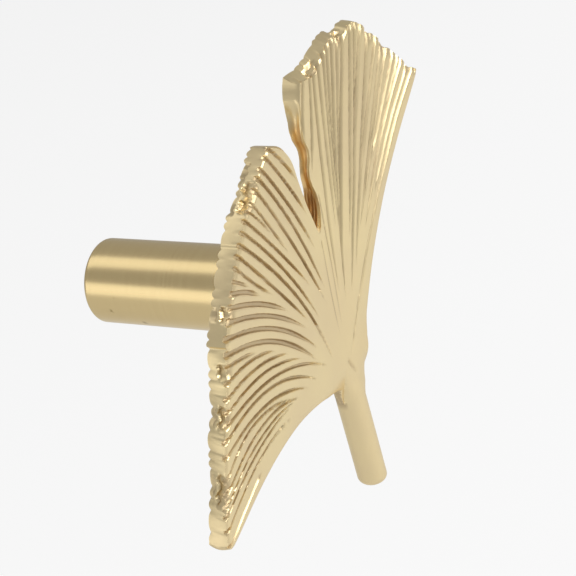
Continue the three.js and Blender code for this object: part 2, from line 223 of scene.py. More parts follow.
# The right lobe's hollows: share of their half width, how pointed they are and how much shade is painted in
# them
HOLLOW_WIDTH, HOLLOW_POWER, HOLLOW_SHADE = 0.95, 1.5, 0.7
LEFT_GROOVES = [
    (-20.3, -10.6, -26.1, -12.1, -32.0, -14.0, 0.16, 0.35),
    (-11.4, -10.2, -20.4, -7.8, -32.0, -12.4, 0.17, 0.45),
    (-12.0, -8.7, -21.7, -7.3, -31.7, -10.9, 0.2, 0.5),
    (-10.7, -8.7, -20.8, -5.9, -30.6, -9.8, 0.18, 0.5),
    (-9.0, -9.1, -19.1, -4.3, -29.7, -8.5, 0.2, 0.5),
    (-10.0, -8.6, -21.0, -2.8, -29.0, -7.0, 0.2, 0.45),
    (-6.0, -9.6, -16.5, -2.9, -28.7, -4.9, 0.22, 0.5),
    (-3.5, -9.9, -14.5, -1.2, -28.2, -3.4, 0.22, 0.5),
    (-0.2, -9.9, -11.6, -1.4, -26.6, -1.9, 0.22, 0.5),
    (-6.4, -5.3, -15.1, -0.1, -26.0, -0.7, 0.2, 0.5),
    (-9.6, -2.7, -17.1, 1.1, -25.8, 0.7, 0.22, 0.5),
    (-12.8, -0.5, -18.3, 2.3, -24.7, 2.2, 0.22, 0.5),
    (-17.2, 1.9, -20.7, 3.2, -24.5, 4.0, 0.24, 0.4),
    (-2.5, -7.8, -11.2, 2.1, -23.4, 5.0, 0.32, 0.5),
    (-1.8, -6.5, -10.4, 3.1, -22.6, 6.6, 0.3, 0.5),
    (-3.6, -2.7, -11.1, 4.4, -20.9, 7.8, 0.3, 0.45),
    (-7.4, 1.8, -13.2, 6.6, -20.3, 9.2, 0.32, 0.45),
    (-13.2, 7.0, -15.9, 9.2, -19.1, 10.3, 0.3, 0.4),
    (-15.4, 9.4, -16.6, 10.3, -17.9, 11.2, 0.2, 0.3),
    (-10.3, 5.6, -13.8, 8.5, -16.7, 12.0, 0.2, 0.4),
    (-2.9, -2.0, -9.1, 5.8, -15.8, 13.1, 0.22, 0.5),
    (1.4, -10.0, -1.7, 1.6, -15.0, 14.2, 0.24, 0.5),
    (0.2, -3.4, -5.2, 6.9, -14.1, 15.4, 0.22, 0.5),
    (-0.6, 1.6, -6.2, 9.2, -12.7, 16.0, 0.22, 0.5),
    (-7.6, 12.2, -9.3, 14.5, -11.3, 16.4, 0.16, 0.35),
    (-4.3, 8.0, -7.1, 12.4, -10.1, 16.7, 0.2, 0.4),
    (2.7, -2.8, -1.9, 8.1, -8.7, 17.8, 0.26, 0.5),
    (2.9, -0.8, -0.4, 9.8, -7.4, 18.6, 0.26, 0.5),
    (2.5, 5.0, -1.1, 12.9, -6.6, 19.6, 0.26, 0.5),
    (2.2, 9.7, -0.8, 15.3, -4.9, 20.2, 0.26, 0.5),
    (1.5, 14.6, -0.7, 17.9, -3.5, 20.6, 0.24, 0.5),
]
RIGHT_GROOVES = [
    (5.6, -12.3, 19.6, 9.0, 30.8, 17.5, 0.42, 0.42),
    (17.5, 5.5, 22.5, 12.2, 29.6, 18.2, 0.38, 0.36),
    (15.6, 4.6, 21.0, 12.7, 28.2, 19.0, 0.42, 0.4),
    (14.0, 2.0, 20.8, 12.0, 27.5, 19.6, 0.38, 0.36),
    (18.0, 9.8, 22.2, 15.1, 26.6, 20.6, 0.42, 0.4),
    (15.0, 5.5, 20.5, 14.5, 25.4, 21.8, 0.38, 0.36),
    (13.0, 2.5, 19.2, 13.5, 24.4, 22.7, 0.4, 0.36),
    (14.9, 8.4, 18.9, 16.2, 23.5, 23.9, 0.42, 0.4),
    (10.5, -2.0, 17.0, 14.0, 22.1, 25.4, 0.4, 0.38),
    (13.6, 9.0, 16.3, 17.2, 20.7, 26.4, 0.42, 0.4),
    (8.5, -4.5, 15.0, 12.0, 19.5, 26.9, 0.4, 0.38),
    (10.4, 2.2, 14.4, 14.2, 18.3, 26.4, 0.42, 0.4),
    (7.3, -1.9, 11.3, 12.7, 16.7, 26.8, 0.42, 0.42),
    (9.6, 6.0, 12.3, 16.5, 15.5, 27.2, 0.4, 0.38),
    (7.0, -5.0, 10.2, 12.0, 14.3, 27.3, 0.4, 0.4),
    (9.6, 7.0, 11.0, 17.5, 13.1, 26.8, 0.4, 0.38),
    (8.6, 4.5, 10.3, 16.5, 12.1, 26.1, 0.42, 0.42),
    (8.0, 5.0, 9.3, 16.2, 10.7, 25.4, 0.42, 0.42),
    (6.0, -3.3, 6.8, 11.1, 9.5, 25.2, 0.42, 0.42),
    (5.2, 13.8, 7.4, 19.3, 8.6, 25.2, 0.36, 0.38),
    (5.0, 17.9, 5.3, 20.9, 7.3, 25.3, 0.36, 0.38),
    (5.1, -7.5, 5.6, 0.0, 5.7, 9.0, 0.3, 0.2),
    (4.3, -8.3, 4.0, -2.0, 4.3, 4.0, 0.3, 0.2),
]


def bent(a, b, c, t):
    """Points at t along the curve from a to c that b bends."""
    a, b, c, t = map(np.asarray, (a, b, c, np.asarray(t)[:, None]))
    return (1 - t) ** 2 * a + 2 * t * (1 - t) * b + t**2 * c


def nearest(p, line):
    """Distance of each point to a bent line, the place along it, and which side of it the point is on."""
    best, place, side = np.full(len(p), 1e9), np.zeros(len(p)), np.zeros(len(p))
    for i in range(len(line) - 1):
        start, d = line[i], line[i + 1] - line[i]
        v = p - start
        u = np.clip((v @ d) / max(d @ d, 1e-12), 0, 1)
        gap = np.hypot(*(v - u[:, None] * d).T)
        closer = gap < best
        best[closer] = gap[closer]
        place[closer] = i + u[closer]
        side[closer] = np.sign(d[0] * v[closer, 1] - d[1] * v[closer, 0])
    return best, place, side


def groove_cut(p):
    """How deep the grooves cut the front at each point, and how much shade is painted in them there. The left
    lobe's are channels with a bevel on their lower edge, the right lobe's are soft hollows between rounded
    ridges."""
    shape = p.shape[:-1]
    p = p.reshape(-1, 2)
    cut, painted_shade = np.zeros(len(p)), np.zeros(len(p))
    for soft, grooves in ((False, LEFT_GROOVES), (True, RIGHT_GROOVES)):
        for k, (*places, half, deep) in enumerate(grooves):
            line = bent(*np.reshape(places, (3, 2)), np.linspace(0, PAST_RIM, GROOVE_POINTS))
            low, high = line.min(0) - 1, line.max(0) + 1
            near = np.where(((p > low) & (p < high)).all(1))[0]
            if not len(near):
                continue
            gap, place, side = nearest(p[near], line)
            place = place / (GROOVE_POINTS - 1) * PAST_RIM
            # a groove swells from its inner end, varies a little in depth and opens at the rim
            swell = smooth(place, 0, 0.3)
            wide = half * (0.35 + 0.65 * swell)
            mouth = wide * (1 + 0.5 * smooth(place, 0.94, 1.01))
            uneven = 1 + 0.1 * np.sin(7.3 * place + 1.9 * k)
            depth = deep * (0.25 + 0.75 * swell) * smooth(place, -0.01, 0.06) * uneven
            # shade painted in the grooves, which in the channels is darkest along their walls
            if soft:
                here = depth * (1 - np.clip(gap / (HOLLOW_WIDTH * wide), 0, 1)) ** HOLLOW_POWER
                painted_dark = HOLLOW_SHADE * depth / deep * (1 - smooth(gap, 0.0, 0.6 * wide))
            else:
                here = CHANNEL_DEPTH * depth * (1 - smooth(gap, 0.6 * mouth, 1.05 * mouth))
                bevel = BEVEL_DROP * swell * (side > 0) * (1 - smooth(gap, wide, wide + BEVEL_WIDTH))
                here = np.maximum(here, bevel)
                edge = 1 - smooth(np.abs(gap - 0.8 * wide), 0.0, 0.3 * wide)
                painted_dark = (1 - smooth(gap, 0.9 * wide, 1.12 * wide)) * np.clip(depth / deep, 0, 1)
                painted_dark = painted_dark * (0.66 + 0.34 * edge)
            cut[near] = np.maximum(cut[near], here)
            painted_shade[near] = np.maximum(painted_shade[near], painted_dark)
    return cut.reshape(shape), painted_shade.reshape(shape)


def front_height(p):
    """Front of the leaf before its grooves, with the slight unevenness of a casting."""
    aside = p[..., 0] - JUNCTION[0]
    rise = math.tan(math.radians(LOBE_LEAN)) * (np.hypot(aside, LEAN_ROUNDING) - LEAN_ROUNDING)
    uneven = UNEVENNESS * wobble(p, 3.2, 2.0) * (1 - smooth(-p[..., 1], 11, 16))
    return BACK_OF_LEAF + LEFT_THICKNESS + rise + uneven


# Thickness left along the right side of the notch, as height up the leaf and millimetres. It is back to the
# lobe's own thickness at NOTCH_FADE from the notch.
NOTCH_THICKNESS = [(6.5, 2.6), (8, 2.2), (10.5, 1.9), (12.2, 1.4), (14, 1.25), (16, 1.5), (18.5, 1.75),
                   (21, 2.1), (25, 2.3)]
NOTCH_FADE = 3.0
# The two thicknesses blend between these places to the right
THICKNESS_BLEND = 3.6, 9.6


def back_height(p):
    """Back of the leaf."""
    thick = LEFT_THICKNESS + (RIGHT_THICKNESS - LEFT_THICKNESS) * smooth(p[..., 0], *THICKNESS_BLEND)
    flat = p.reshape(-1, 2)
    gap = nearest(flat, right_notch.points[::60])[0].reshape(thick.shape)
    wanted = np.interp(p[..., 1], *np.array(NOTCH_THICKNESS).T)
    above = p[..., 1] > NOTCH_THICKNESS[0][0]
    hollow = np.maximum(thick - wanted, 0) * (1 - smooth(gap, 0.3, NOTCH_FADE)) * above
    return front_height(p) - thick + hollow


# --------------------
# Meshes
def into_scene(name, data):
    obj = bpy.data.objects.new(name, data)
    bpy.context.scene.collection.objects.link(obj)
    return obj


def finish_mesh(name, mesh, weld, recalculate=False):
    """Joins near vertices, smooths all but the sharp edges and puts the mesh in the scene."""
    made = bmesh.new()
    made.from_mesh(mesh)
    bmesh.ops.remove_doubles(made, verts=made.verts, dist=weld)
    if recalculate:
        bmesh.ops.recalc_face_normals(made, faces=made.faces)
    made.to_mesh(mesh)
    made.free()
    mesh.validate()
    mesh.shade_smooth()
    mesh.set_sharp_from_angle(angle=math.radians(SHARP_ANGLE))
    return into_scene(name, mesh)


class Shell:
    """Gathers the vertices and faces of one mesh, with two marks for each vertex from 0 to 1: how much shade
    is painted on it, in a groove, crack or recess or under an edge, and how much it has the deeper colour of
    bare brass, painted on the notch's side as its warm reflection."""

    def __init__(self):
        self.points, self.marks, self.faces, self.count = [], [], [], 0

    def add(self, p, w, painted_shade=0.0, painted_reflection=0.0):
        p = np.asarray(p, float)
        shape = p.shape[:-1]
        flat = p.reshape(-1, 2)
        w = np.broadcast_to(w, shape).reshape(-1)
        self.points.append(np.stack([flat[:, 0], -w, flat[:, 1]], -1))
        marks = [np.broadcast_to(mark, shape).reshape(-1).astype(float) for mark in (painted_shade, painted_reflection)]
        self.marks.append(np.stack(marks))
        numbers = np.arange(self.count, self.count + len(flat)).reshape(shape)
        self.count += len(flat)
        return numbers

    def grid(self, numbers, facing):
        """Quads over a grid of vertices, turned to face the way that facing gives, one vector or one per
        column."""
        a, b, c, d = numbers[:-1, :-1], numbers[1:, :-1], numbers[1:, 1:], numbers[:-1, 1:]
        quads = np.stack([a, b, c, d], -1)
        allp = np.concatenate(self.points)
        p = allp[quads]
        n = np.cross(p[..., 2, :] - p[..., 0, :], p[..., 3, :] - p[..., 1, :])
        facing = np.asarray(facing, float)
        if facing.ndim == 2:
            facing = facing[:-1][:, None, :]
        if (n * facing).sum() < 0:
            quads = quads[..., ::-1]
        self.faces += [tuple(dict.fromkeys(f)) for f in quads.reshape(-1, 4).tolist()]

    def build(self, name):
        mesh = bpy.data.meshes.new(name)
        points = np.concatenate(self.points) / MM
        mesh.from_pydata(points.tolist(), [], [f for f in self.faces if len(f) > 2])
        for mark, values in zip(("painted_shade", "painted_reflection"), np.concatenate(self.marks, axis=1)):
            layer = mesh.attributes.new(mark, "FLOAT", "POINT")
            layer.data.foreach_set("value", values.astype(np.float32))
        return finish_mesh(name, mesh, LEAF_WELD)


leaf = Shell()
# Lengths of the rows from the root to the rim, against their place: short at both ends
ROW_LENGTHS = [(0, 0.15), (0.2, 0.7), (0.7, 1.0), (0.9, 0.6), (1, 0.3)]

# Where the rim's edges are short, as place and half width in ridges from the outer tip and depth in
# millimetres: at the front, and at the back. The slope is how wide a chip's ends are, in ridges.
CHIP_SLOPE = 0.5
CHIPS = {
    left: ([(3.9, 1.2, 0.4), (9.2, 0.8, 0.35), (12.6, 0.4, 0.3), (16.8, 0.4, 0.35), (26.1, 1.3, 0.7)],
           [(3.9, 1.0, 0.3), (9.2, 0.6, 0.2), (16.8, 0.4, 0.2), (26.3, 1.7, 0.8), (28.6, 0.5, 0.5)]),
    right: ([(1.2, 0.7, 0.3), (5.6, 0.6, 0.35), (8.4, 0.5, 0.3), (12.9, 0.5, 0.35), (17.6, 0.7, 0.5)],
            [(5.6, 0.8, 0.3), (12.9, 0.3, 0.5)]),
}
# How far the rim's flat stretches stand out, and how much further their back edge does, as place in ridges
# and millimetres
STRETCHES = {
    left: [(0, 0), (2.3, 0.15), (5.9, 0), (7.4, 0.1), (9.8, 0.04), (12.0, 0.0), (14.35, 0.02), (14.5, 0.32),
           (16.0, 0.15), (18.0, 0.04), (21.9, 0.2), (22.1, 0.06), (24.3, 0.16), (27.6, 0.0), (31, 0.1)],
    right: [(0, 0), (4, 0.25), (7.2, 0.35), (10.6, 0.3), (11.9, 0.3), (12.1, 0.0), (15.3, 0.0), (16.5, -0.3),
            (18.6, -0.5), (20, -0.3)],
}
BACK_STRETCHES = {
    left: [(0, 0), (1.0, -0.4), (2.1, -0.7), (3.0, -0.9), (4.7, -1.0), (5.7, -0.7), (8.2, -0.45), (9.3, -1.1),
           (10.3, -0.8), (11.2, -0.4), (12.5, -0.25), (14, 0), (31, 0)],
    right: [(0, 0), (3, 0.1), (9, 0.1), (10.3, 0.3), (12.2, 0.35), (12.9, 0.7), (14.8, 0.6), (15.5, 0.9),
            (16.5, 1.0), (18, 1.0), (20, 0.8)],
}


# How high the scallops of the rim's back edge are
SCALLOPS = {left: 0.4, right: 0.25}


def chip(q, lobe, behind=False):
    """How short the rim is of its line."""
    depth = np.zeros(np.shape(q))
    for place, half, deep in CHIPS[lobe][behind]:
        off = np.abs(q * lobe.ridges - place)
        depth = np.maximum(depth, deep * (1 - smooth(off, 0.3 * half, half + CHIP_SLOPE)))
    return depth


def stand_out(q, lobe, table=STRETCHES):
    return np.interp(q * lobe.ridges, *np.array(table[lobe]).T)


def back_wave(q, r, lobe):
    """Scallops along the rim's back edge, about one for each ridge."""
    turn = q * lobe.ridges + 0.25 * np.sin(2.1 * q * lobe.ridges)
    wave = SCALLOPS[lobe] * (1 - np.abs(np.sin(math.pi * turn)) ** 0.7)
    return wave * smooth(r, 0.8, 1.0) * smooth(turn, 0, 0.6)


# How far the notch's right side sways from its plain line, as height up the leaf and millimetres to the
# right, and how far into the lobe the sway reaches
SWAY = [(6.2, 0), (6.6, 0.6), (7.4, 0.75), (8.4, 0.89), (9.4, 0.9), (10.9, 0.57), (12.2, -0.05),
        (13.5, -0.47), (14.5, -0.36), (15.5, 0.15), (16.7, 0.24), (18, -0.37), (19.3, -0.49), (20.4, -0.19),
        (23.7, -0.2), (25, 0)]
SWAY_REACH = 2.2
# The crumbled edge at a chip: how far it drops, how uneven that is, how much shade is painted on it, and how
# rough the line is
CRUMBLE_DROP, CRUMBLE_UNEVEN, CRUMBLE_SHADE = 0.18, 0.04, 0.8
CHIP_ROUGHNESS = 0.03
# Shade painted along the rim's broken edge
RIM_BREAK_SHADE = 0.35
# The back has only one in so many of the front's rows
BACK_ROWS = 6


def edge_round(gap, radius):
    """How far a rounded edge drops at a distance from it."""
    gap = np.clip(gap, 0, radius)
    return radius - np.sqrt(radius**2 - (radius - gap) ** 2)


def notch_sway(p):
    """The right lobe's points moved with the notch's side."""
    gap = nearest(p.reshape(-1, 2), right_notch.points[::30])[0].reshape(p.shape[:-1])
    p = p.copy()
    p[..., 0] += np.interp(p[..., 1], *np.array(SWAY).T) * (1 - smooth(gap, 0, SWAY_REACH))
    return p


def build_lobe(lobe):
    """The two faces of a lobe. Returns what its walls, band and middle join on to."""
    q = np.linspace(0, 1, lobe.ridges * lobe.columns + 1)
    split = int(round(lobe.notch_from * lobe.ridges * lobe.columns))
    q[split] = lobe.notch_from
    lengths = np.interp(np.linspace(0, 1, lobe.rows), *np.array(ROW_LENGTHS).T)
    share = np.concatenate([[0], np.cumsum(lengths)])
    share = share / share[-1]
    start = lobe.first_row(q)
    r = start[:, None] + (1 - start[:, None]) * share[None, :]
    qq = np.broadcast_to(q[:, None], r.shape)
    whole, t = lobe.vein(qq, r)
    if lobe is right:
        whole = notch_sway(whole)
    short = chip(q, lobe)
    rough = CHIP_ROUGHNESS * wobble(whole, 0.2, 1.0) * smooth(short, 0.05, 0.3)[:, None]
    out = stand_out(q, lobe)
    p = whole - t * ((short - out)[:, None] + rough)[..., None] * smooth(r, 0.94, 1.0)[..., None]
    cut, painted_shade = groove_cut(p)
    # a chip's edge crumbles, and shade is painted on the crumbled edge
    crumble = smooth(short, 0.1, 0.35)[:, None] * smooth(r, 0.955, 1.0)
    cut = cut + crumble * (CRUMBLE_DROP + CRUMBLE_UNEVEN * wobble(p, 0.15, 4.0))
    painted_shade = np.maximum(painted_shade, CRUMBLE_SHADE * crumble)
    # the notch's side and the last vein are rounded over
    side = (q > lobe.notch_from)[:, None]
    cut = cut + side * edge_round(np.linalg.norm(p - p[:, :1], axis=-1), NOTCH_EDGE_RADIUS)
    cut = cut + edge_round(np.linalg.norm(p - p[-1:], axis=-1), LAST_VEIN_RADIUS) * (q > 0.97)[:, None]
    cut = cut + RIM_BREAK * smooth(r, 0.982, 1.0)
    # shade painted along the rim's broken edge
    painted_shade = np.maximum(painted_shade, RIM_BREAK_SHADE * smooth(r, 0.985, 1.0))
    w = front_height(p) - cut
    front = leaf.add(p, w, painted_shade)
    leaf.grid(front, (0, -1, 0))
    rows = sorted({*range(0, lobe.rows, BACK_ROWS), *range(lobe.rows - 3, lobe.rows + 1)})
    rb, qb = r[:, rows], qq[:, rows]
    short_back = chip(q, lobe, True)
    tilt = stand_out(q, lobe, BACK_STRETCHES)
    pb = whole[:, rows] - t[:, rows] * ((short_back - out - tilt)[:, None] * smooth(rb, 0.9, 1.0))[..., None]
    wb = back_height(pb) + back_wave(qb, rb, lobe)
    # shade painted on the scallops of the back edge
    back = leaf.add(pb, wb, 0.8 * back_wave(qb, rb, lobe))
    leaf.grid(back, (0, 1, 0))
    # wf and wb are the heights of front and back, off and off_back how far the rim's edges are from its line
    return {
        "q": q, "r": r, "p": p, "t": t, "wf": w, "pb": pb, "wb": wb, "rows": rows, "split": split,
        "rim": whole[:, -1], "out": out, "tilt": tilt,
        "off": ((p - whole) * t).sum(-1)[:, -1], "off_back": -(short_back - out),
    }


def wall(p, w, painted_shade, out, painted_reflection=0.0):
    """A strip of surface that faces along out, one vector for each column."""
    facing = np.stack([out[:, 0], np.zeros(len(out)), out[:, 1]], -1)
    leaf.grid(leaf.add(p, w, painted_shade, painted_reflection), facing)


def between(a, b, rows):
    """Values from a to b, one column for each of their entries."""
    rows = rows[None, :, None] if a.ndim == 2 else rows[None]
    return a[:, None] * (1 - rows) + b[:, None] * rows


# The rim's face, in shares of its thickness: the mesh's rows, and where it is short how far the rib wanders,
# how wide it is at its top and foot, and where the painted crack lines beside it are and how wide
RIM_ROWS = np.array([0, 0.04, 0.09, 0.15, 0.21, 0.27, 0.32, 0.36, 0.4, 0.45, 0.5,
                     0.55, 0.6, 0.64, 0.68, 0.73, 0.79, 0.85, 0.91, 0.96, 1.0])
RIB_WANDER = 0.07
RIB_TOP, RIB_FOOT = 0.08, 0.17
CRACK_PLACE, CRACK_HALF = 0.19, 0.07
# Its bulge, the hollows beside the rib and their unevenness, in millimetres, and how much shade is painted in
# the hollows and along the crack lines
RIM_BULGE = 0.04
RIB_HOLLOW, RIB_UNEVEN = 0.12, 0.02
RIB_SHADE, CRACK_SHADE = 0.35, 0.9


def rim_wall(lobe, made):
    """The rim's face: flat satin stretches, and where the edges are short a thin rib between two hollows,
    with shade painted in the hollows and as two crack lines beside the rib.
    """
    rows = RIM_ROWS[None]
    q = made["q"][:, None]
    t = made["t"][:, -1]
    off, off_back, out = made["off"][:, None], made["off_back"][:, None], made["out"][:, None]
    centre = 0.5 + RIB_WANDER * np.sin(2.6 * q * lobe.ridges)
    rib = 1 - smooth(np.abs(rows - centre), RIB_TOP, RIB_FOOT)
    edge = np.where(rows < centre, off, off_back)
    full = out + RIM_BULGE * np.sin(math.pi * rows)
    fallen = smooth(out - edge, 0.04, 0.2)
    ends = smooth(rows, 0, 0.1) * smooth(1 - rows, 0, 0.1)
    profile = edge * (1 - rib) + full * rib
    profile = profile * fallen + (edge * (1 - ends) + full * ends) * (1 - fallen)
    profile = profile - RIB_HOLLOW * fallen * (1 - rib) * (1 - np.abs(1 - 2 * rows))
    # the cracks are lines of painted shade, not cut into the face
    painted_crack = 1 - smooth(np.abs(np.abs(rows - centre) - CRACK_PLACE), 0.0, CRACK_HALF)
    profile = profile + made["tilt"][:, None] * rows
    p = made["rim"][:, None] + t[:, None] * profile[..., None]
    place = np.stack([q * lobe.ridges * 1.5 + 0 * rows, 2.7 * rows + 0 * q], -1)
    uneven = RIB_UNEVEN * wobble(place, 0.25, 3.0)
    p = p + t[:, None] * (uneven * fallen * (1 - rib) * ends)[..., None]
    p[:, 0], p[:, -1] = made["p"][:, -1], made["pb"][:, -1]
    # shade painted in the hollows beside the rib and along the crack lines
    painted_shade = fallen * np.maximum(RIB_SHADE * (1 - rib), CRACK_SHADE * painted_crack) * ends
    wall(p, between(made["wf"][:, -1], made["wb"][:, -1], RIM_ROWS), painted_shade, t)


def outward(line, side):
    """Directions square to a line, away from the lobe or strip on its side."""
    step = np.gradient(line, axis=0)
    out = np.stack([step[:, 1], -step[:, 0]], -1)
    out /= np.maximum(np.linalg.norm(out, axis=1, keepdims=True), 1e-9)
    return -out if (out[:, 0].mean() > 0) == (side > 0) else out


# The notch's side: how far it is hollowed, fluted and waved, and the number of its flutes
NOTCH_HOLLOW, FLUTE_DEPTH, NOTCH_WAVE = 0.3, 0.15, 0.1
FLUTES = 4


def notch_wall(lobe, made):
    """The hollow side of the notch, fluted, with shade painted at its bottom and across its flutes, and a
    warm reflection painted along its middle.
    """
    s = made["split"]
    pf, pb = made["p"][s:, 0], made["pb"][s:, 0]
    out = outward(pf, lobe.side)
    rows = np.linspace(0, 1, 25)
    run = np.linspace(0, 1, len(pf))[:, None]
    belly = np.sin(math.pi * rows)[None]
    hollow = -NOTCH_HOLLOW * belly * smooth(run, 0.02, 0.12) * (1 - smooth(run, 0.85, 1.0))
    low = 1 - smooth(run, 0.22, 0.36)
    turns = 2 * FLUTES * math.pi * rows
    flute = FLUTE_DEPTH * np.sin(turns)[None] * low
    wave = NOTCH_WAVE * np.sin(11 * run + 1.0) * belly
    profile = (hollow + flute + wave) * np.minimum(1, 12 * rows * (1 - rows))[None]
    # shade painted at the notch's bottom, darker and lighter across the flutes
    painted_dark = low * (0.62 + 0.38 * np.cos(turns)[None]) * np.sin(math.pi * np.clip(rows, 0.08, 0.92))[None]
    # the deeper colour of bare brass, painted as a warm reflection along the middle of the notch's side
    painted_reflection = belly ** 0.5 * (1 - smooth(run, 0.75, 0.9)) + 0 * run
    p = between(pf, pb, rows) + out[:, None] * profile[..., None]
    wall(p, between(made["wf"][s:, 0], made["wb"][s:, 0], rows), painted_dark, out, painted_reflection)


def corner_wall(lobe, made):
    """The wall along a lobe's last vein, at its inner corner."""
    pf, n = made["p"][-1], np.arange(lobe.rows + 1)
    pb = np.stack([np.interp(n, made["rows"], made["pb"][-1][:, k]) for k in (0, 1)], -1)
    wb = np.interp(n, made["rows"], made["wb"][-1])
    rows = np.linspace(0, 1, 7)
    wall(between(pf, pb, rows), between(made["wf"][-1], wb, rows), 0.0, outward(pf, lobe.side))


# Smooth bands along the outer sides: their rows as shares of the width, and how far the tip is rounded in
# plan, bulges along its end and drops at the front
BAND_SHARES = np.array([0, 0.04, 0.08, 0.13, 0.2, 0.3, 0.42, 0.55, 0.68, 0.78, 0.86, 0.92, 0.96, 0.985, 1.0])
TIP_ROUNDING, TIP_BULGE, TIP_DROP = 0.5, 0.3, 0.1


def band_width(lobe, r):
    wide, thin, taper = lobe.band
    return thin + (wide - thin) * (1 - r) ** taper


def band_points(lobe, share, r):
    p, t = lobe.vein(np.zeros(r.shape), r)
    out = np.stack([t[..., 1], -t[..., 0]], -1) * lobe.side
    return p + out * (share * band_width(lobe, r))[..., None], out


def build_band(lobe, made):
    r = np.broadcast_to(made["r"][0][None], (len(BAND_SHARES), lobe.rows + 1))
    share = np.broadcast_to(BAND_SHARES[:, None], r.shape)
    p, out = band_points(lobe, share, r)
    # the tip is rounded off in plan
    p = p - made["t"][0][None] * (TIP_ROUNDING * share**3 * smooth(r, 0.93, 1.0))[..., None]
    cut, painted_shade = groove_cut(p)
    gap = (1 - share) * band_width(lobe, r)
    drop = edge_round(gap, np.minimum(EDGE_RADIUS, 0.7 * band_width(lobe, r)))
    p[0] = made["p"][0]
    slope = 0.0 if lobe is left else BAND_DROP * share * (1 - smooth(r, 0.6, 1.0))
    w = front_height(p) - cut - drop - slope - TIP_DROP * smooth(r, 0.985, 1.0)
    w[0] = made["wf"][0]
    leaf.grid(leaf.add(p, w, painted_shade), (0, -1, 0))
    wb = back_height(p) + drop
    leaf.grid(leaf.add(p, wb), (0, 1, 0))
    rows = np.linspace(0, 1, 5)
    wall(between(p[-1], p[-1], rows), between(w[-1], wb[-1], rows), 0.0, out[-1])
    rows = np.linspace(0, 1, 9)
    bulge = TIP_BULGE * np.sin(math.pi * BAND_SHARES)[:, None] * np.sin(math.pi * rows)[None]
    outs = np.repeat(made["t"][0, -1][None], len(BAND_SHARES), 0)
    end = between(p[:, -1], p[:, -1], rows) + outs[:, None] * bulge[..., None]
    wall(end, between(w[:, -1], wb[:, -1], rows), 0.0, outs)
    return {"p": p, "w": w, "wb": wb}


made = {}
for lobe in (left, right):
    made[lobe] = build_lobe(lobe)
    rim_wall(lobe, made[lobe])
    notch_wall(lobe, made[lobe])
    corner_wall(lobe, made[lobe])
bands = {lobe: build_band(lobe, made[lobe]) for lobe in (left, right)}

# --------------------
# The smooth middle: the strip up to the notch, the junction, and a tongue that runs out on the stem. The rod
# of the stem comes out from under it, so the tongue's left edge makes an arch over the rod.
# Half width and half depth of the rod, against its height up the leaf
ROD_SIDES = [(-8.6, 0), (-9, 0.9), (-10.8, 1.5), (-12.5, 1.9), (-14.5, 2.2), (-16.5, 2.15), (-18.5, 2)]
ROD_DEPTHS = [(-8.6, 0), (-9, 0.7), (-10.8, 1.2), (-12.5, 1.6), (-14.5, 1.95), (-16.5, 2.05), (-18.5, 2)]
ROD_PITCH = 0.7
# The tongue turns into the rod's front between these distances below the middle. It spreads the rod on the
# right, lies a little over it, and sinks into it at its end.
TONGUE_BLEND = 12.5, 19.6
TONGUE_END = -20.6
TONGUE_SPREAD, TONGUE_LIFT, TONGUE_SINK = 0.35, 0.03, 0.12
# The crease where the right band leaves the junction: its line, depth, half width and the shade painted in it
CREASE = bent((5.0, -12.0), (5.5, -13.3), (6.6, -14.8), np.linspace(0, 1, 12))
CREASE_DEPTH, CREASE_HALF, CREASE_SHADE = 0.35, 0.4, 0.5
# Shadow painted under the tongue's arch, on the arch's wall and on the rod
ARCH_SHADE = 0.75
# The middle's mesh: its pitch, rows beside the free edges, room at its border and points at its foot
PITCH = 0.18
EDGE_ROWS = (0.04, 0.1, 0.18)
BORDER_ROOM = 0.035
SAME_POINT = 1e-5
FOOT_POINTS = 12


def rod_axis(z):
    return JUNCTION[0] + STEM_ASIDE + (JUNCTION[1] - z) * STEM_LEAN


def rod_size(z, table):
    heights, sizes = np.array(table[::-1]).T
    return np.interp(z, heights, sizes)


def rod_centre(z):
    """The rod's upper end tapers from the back and its front sinks a little."""
    return STEM_CENTRE + STEM_RADIUS - rod_size(z, ROD_DEPTHS) - 0.3 * smooth(z, -17.5, -14.0)


def rod_front(p, spread=1.0):
    """Front of the rod, made wider by spread."""
    aside = (p[..., 0] - rod_axis(p[..., 1])) / spread
    half, deep = (rod_size(p[..., 1], table) for table in (ROD_SIDES, ROD_DEPTHS))
    return rod_centre(p[..., 1]) + deep / np.maximum(half, 0.01) * np.sqrt(np.maximum(half**2 - aside**2, 0))


def free_edge(lobe, onward):
    """From a band's lower corner along its edge and on down the stem."""
    r = np.linspace(made[lobe]["r"][0, 0], 0.06 if lobe is right else 0.02, 12)
    first = band_points(lobe, np.ones(12), r)[0]
    rest = Line([first[-2], first[-1], *onward])
    turn = rest.run[np.argmin(np.linalg.norm(rest.points - first[-1], axis=1))]
    return np.concatenate([first, rest.at(np.linspace(turn, 1, 60))[1:]])


edge_left = free_edge(left, [(3.0, -15.55), (3.7, -16.85), (4.5, -18.55), (5.7, TONGUE_END)])
edge_right = free_edge(right, [(10.1, -13.9), (9.6, -16.1), (9.2, -18.2), (8.8, TONGUE_END)])


